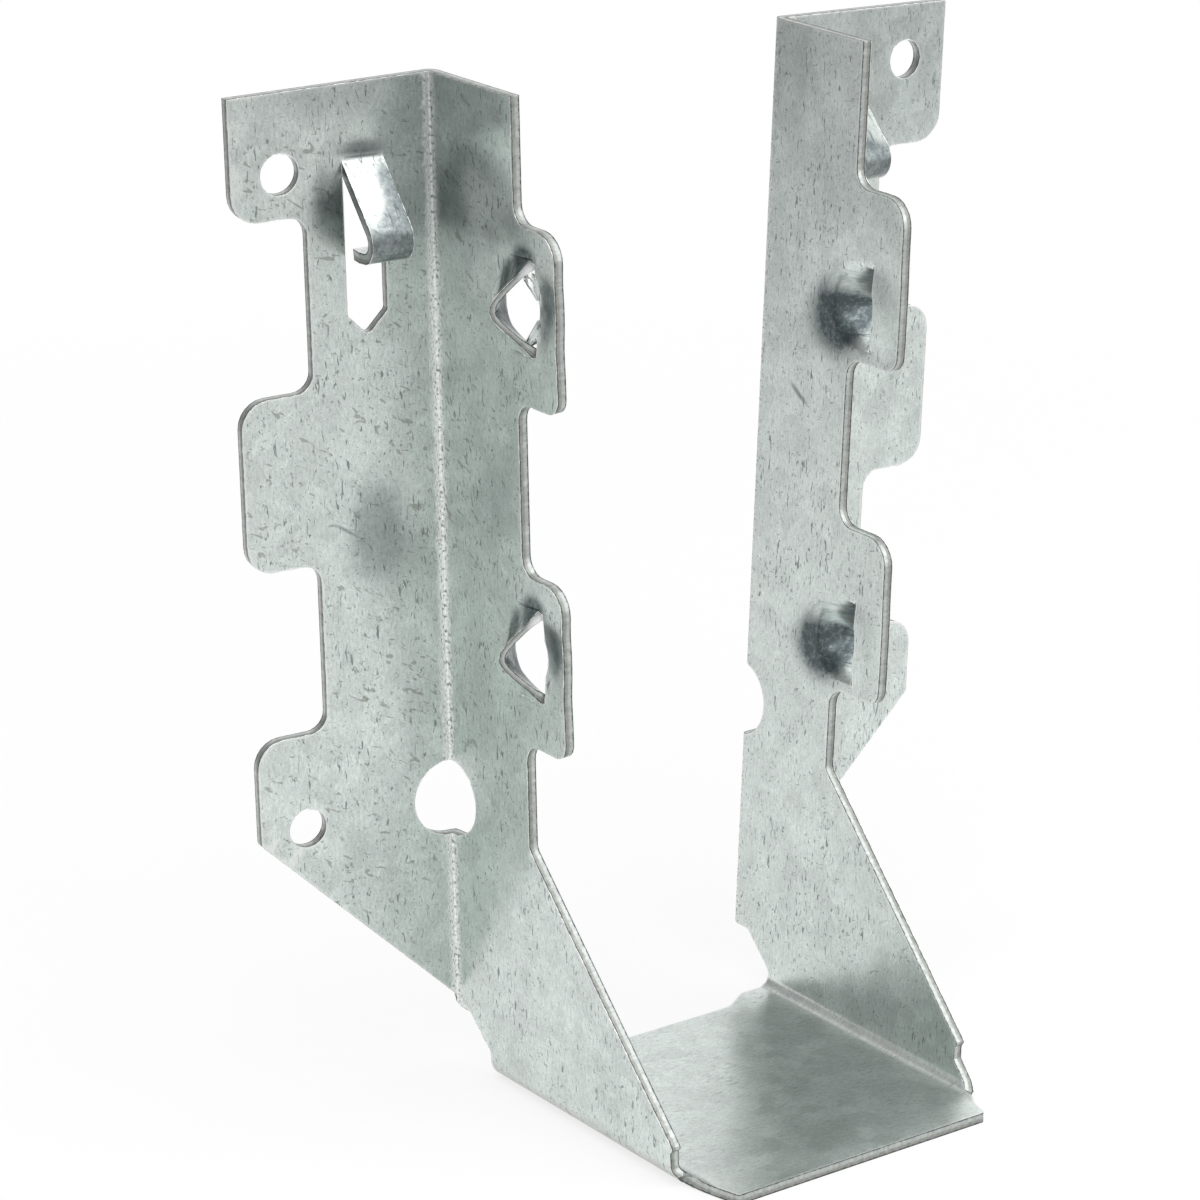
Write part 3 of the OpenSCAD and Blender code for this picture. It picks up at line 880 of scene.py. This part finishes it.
# bright torn metal
def makeBurrMetal():
    material, tree, shader = newMaterial("burrMetal")
    shader.inputs["Base Color"].default_value = (*burrFinish["colour"], 1.0)
    shader.inputs["Roughness"].default_value = burrFinish["roughness"]
    shader.inputs["Metallic"].default_value = 1.0
    return material


# the beads, as a plain mesh that stays inside the solid's box
def makeBurr(path, finish):
    piece = bpy.data.objects.new("shearBurr", path)
    bpy.context.scene.collection.objects.link(piece)
    tree = makeBurrTree()
    modifier = piece.modifiers.new("shearBurr", "NODES")
    modifier.node_group = tree
    values = {**burr, "Finish": finish}
    for socket in tree.interface.items_tree:
        if socket.in_out == "INPUT" and socket.name in values:
            modifier[socket.identifier] = values[socket.name]
    ready = piece.evaluated_get(bpy.context.evaluated_depsgraph_get())
    mesh = bpy.data.meshes.new_from_object(ready)
    piece.modifiers.clear()
    piece.data = mesh
    low, high = cadBox
    for vertex in mesh.vertices:
        vertex.co = [min(max(c, a), b) for c, a, b in zip(vertex.co, low, high)]
    print("burr beads:", len(mesh.polygons), "faces")
    return piece


hangerSheet, burrPath = makeSheet()
hangerSheet.data.materials.append(makeZincSkin())
hangerSheet.data.materials.append(makeShearedEdge())
weighted = hangerSheet.modifiers.new("flatNormals", "WEIGHTED_NORMAL")
weighted.keep_sharp = True
weighted.weight = 70
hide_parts("joist_hanger")
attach(hangerSheet, "root")
shearBurr = makeBurr(burrPath, makeBurrMetal())
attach(shearBurr, "root")
print("zinc and sheared edges finished")


# floor and surroundings, in metres
studio = {
    "floor": 0.93,
    "halfWidth": 3.0,
    "floorGlow": 0.76,      # share of the floor's white that no shadow reaches
    "poolNear": 0.10,       # the floor's reflected white starts to fall away here
    "poolFar": 0.75,
    "poolDepth": 0.42,
    "clearFloor": (0.12, 0.4),      # between these the seen floor turns plain white
    "skyLight": 0.62,
    "dimSide": (-0.59, 0.76, 0.28),     # the studio is dimmer this way
    "dimLevel": 0.42,
}

lampAim = (0, 0, 0.06)
lamps = {
    "overheadSoft": {"place": (-0.15, -0.25, 0.75), "size": 1.05, "power": 5.0},
    "rightSoft": {"place": (0.7, -0.4, 0.35), "size": 0.9, "power": 2.6},
}

frontView = {
    "lens": 135.16,
    "shift": (-0.0037, 0.0103),
    "place": (-0.29774, -0.36800, 0.22527),
    "right": (0.80196, -0.59733, 0.00796),
    "up": (0.19144, 0.26960, 0.94375),
    "ahead": (0.56588, 0.75532, -0.33056),
}


# 1 for rays that look at the studio straight, in a reflection or through something
def seenRays(tree, path):
    through = calc(tree, "MAXIMUM", path["Is Glossy Ray"], path["Is Transmission Ray"])
    return calc(tree, "MAXIMUM", path["Is Camera Ray"], through)


# white to look at, with a pool of reflected white that fades away from the object
def makeFloor():
    mesh = bpy.data.meshes.new("paleFloor")
    half = studio["halfWidth"]
    corners = [(-half, -half, 0), (half, -half, 0), (half, half, 0), (-half, half, 0)]
    mesh.from_pydata(corners, [], [(0, 1, 2, 3)])
    floor = bpy.data.objects.new("paleFloor", mesh)
    bpy.context.scene.collection.objects.link(floor)
    material = bpy.data.materials.new("paleFloor")
    material.use_nodes = True
    tree = material.node_tree
    tree.nodes.clear()
    matt = put(tree, "ShaderNodeBsdfDiffuse", {"Color": (studio["floor"],) * 3 + (1,)})
    glow = put(tree, "ShaderNodeEmission", {"Color": (1, 1, 1, 1), "Strength": 1.0})
    path = put(tree, "ShaderNodeLightPath").outputs
    seen = seenRays(tree, path)
    solid = put(tree, "ShaderNodeTexCoord").outputs["Object"]
    reach = put(tree, "ShaderNodeVectorMath", {0: solid}, operation="LENGTH").outputs["Value"]
    pool = spread(tree, reach, studio["poolNear"], studio["poolFar"], 1.0, studio["poolDepth"])
    level = calc(tree, "MAXIMUM", pool, path["Is Camera Ray"])
    tree.links.new(level, glow.inputs["Strength"])
    near, far = studio["clearFloor"]
    away = spread(tree, reach, near, far, 0.0, 1.0 - studio["floorGlow"])
    clear = product(tree, path["Is Camera Ray"], away)
    share = calc(tree, "ADD", product(tree, seen, studio["floorGlow"]), clear)
    both = put(tree, "ShaderNodeMixShader", {0: share, 1: matt.outputs[0], 2: glow.outputs[0]})
    put(tree, "ShaderNodeOutputMaterial", {"Surface": both.outputs[0]})
    mesh.materials.append(material)


def makeLamp(name, place, size, power):
    lamp = bpy.data.lights.new(name, "AREA")
    lamp.shape = "SQUARE"
    lamp.size = size
    lamp.energy = power
    lampObject = bpy.data.objects.new(name, lamp)
    lampObject.location = place
    toAim = Vector(lampAim) - Vector(place)
    lampObject.rotation_euler = toAim.to_track_quat("-Z", "Y").to_euler()
    bpy.context.scene.collection.objects.link(lampObject)


# even pale surroundings, dimmer on one side
def makeWorld():
    world = bpy.data.worlds.new("paleStudio")
    world.use_nodes = True
    tree = world.node_tree
    tree.nodes.clear()
    path = put(tree, "ShaderNodeLightPath").outputs
    seen = seenRays(tree, path)
    facing = put(tree, "ShaderNodeTexCoord").outputs["Generated"]
    turned = put(tree, "ShaderNodeVectorMath", {0: facing, 1: studio["dimSide"]},
                 operation="DOT_PRODUCT").outputs["Value"]
    dimmed = spread(tree, turned, 0.55, 0.95, 1.0, studio["dimLevel"], smooth=True)
    level = calc(tree, "MAXIMUM", dimmed, path["Is Camera Ray"])
    strength = product(tree, spread(tree, seen, 0.0, 1.0, studio["skyLight"], 1.0), level)
    sky = put(tree, "ShaderNodeBackground", {"Color": (1, 1, 1, 1), "Strength": strength})
    put(tree, "ShaderNodeOutputWorld", {"Surface": sky.outputs[0]})
    bpy.context.scene.world = world


def makeCamera():
    camera = bpy.data.cameras.new("frontLeft")
    camera.lens = frontView["lens"]
    camera.sensor_width = 36.0
    camera.shift_x, camera.shift_y = frontView["shift"]
    camera.clip_start = 0.01
    camera.clip_end = 20.0
    cameraObject = bpy.data.objects.new("frontLeft", camera)
    right, up, ahead = (Vector(frontView[k]) for k in ("right", "up", "ahead"))
    turn = Matrix((right, up, -ahead)).transposed().to_4x4()
    cameraObject.matrix_world = Matrix.Translation(frontView["place"]) @ turn
    bpy.context.scene.collection.objects.link(cameraObject)
    bpy.context.scene.camera = cameraObject


makeFloor()
makeWorld()
makeCamera()
for lampName, lampLook in lamps.items():
    makeLamp(lampName, **lampLook)
bpy.context.scene.view_settings.view_transform = "Standard"
print("studio ready")
